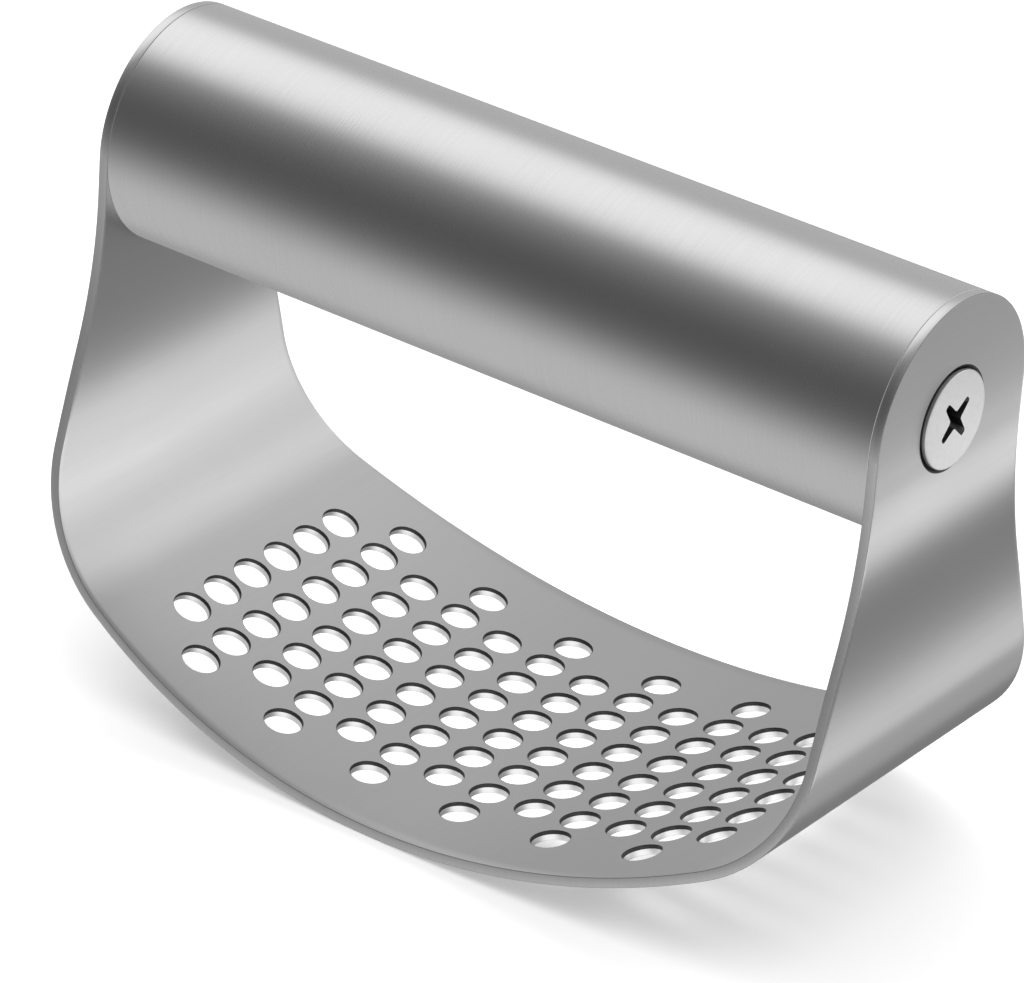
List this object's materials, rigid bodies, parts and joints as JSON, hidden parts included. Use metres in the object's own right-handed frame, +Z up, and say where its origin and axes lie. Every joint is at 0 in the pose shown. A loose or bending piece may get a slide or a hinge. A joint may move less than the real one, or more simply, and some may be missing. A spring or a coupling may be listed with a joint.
{
  "type": "rocking garlic press",
  "caption": "Rocking garlic press: a perforated sheet bent into a curved belly and two upright walls, joined at the top by a tube handle held with cross-recess screws.",
  "frame": {"origin": "under the middle of the belly, on the surface that the press rocks on", "axes": "+X along the handle, +Y across the sheet, +Z up from the belly to the handle"},
  "size_m": [0.1064, 0.057, 0.0744],
  "materials": {
    "sheet_steel": "even satin, fine grain across the sheet, bright deburred edges",
    "tube_steel": "satin brushed, soft highlight bands along the tube",
    "plug_plastic": "moulded, matt",
    "nut_steel": "zinc plated, dull",
    "screw_steel": "polished head with a fine grain"
  },
  "bodies": {
    "root": {"rocker_plate": "sheet_steel", "handle_tube": "tube_steel", "end_plug_left": "plug_plastic", "end_plug_right": "plug_plastic", "hex_nut_left": "nut_steel", "hex_nut_right": "nut_steel", "screw_left": "screw_steel", "screw_right": "screw_steel"}
  },
  "joints": []
}
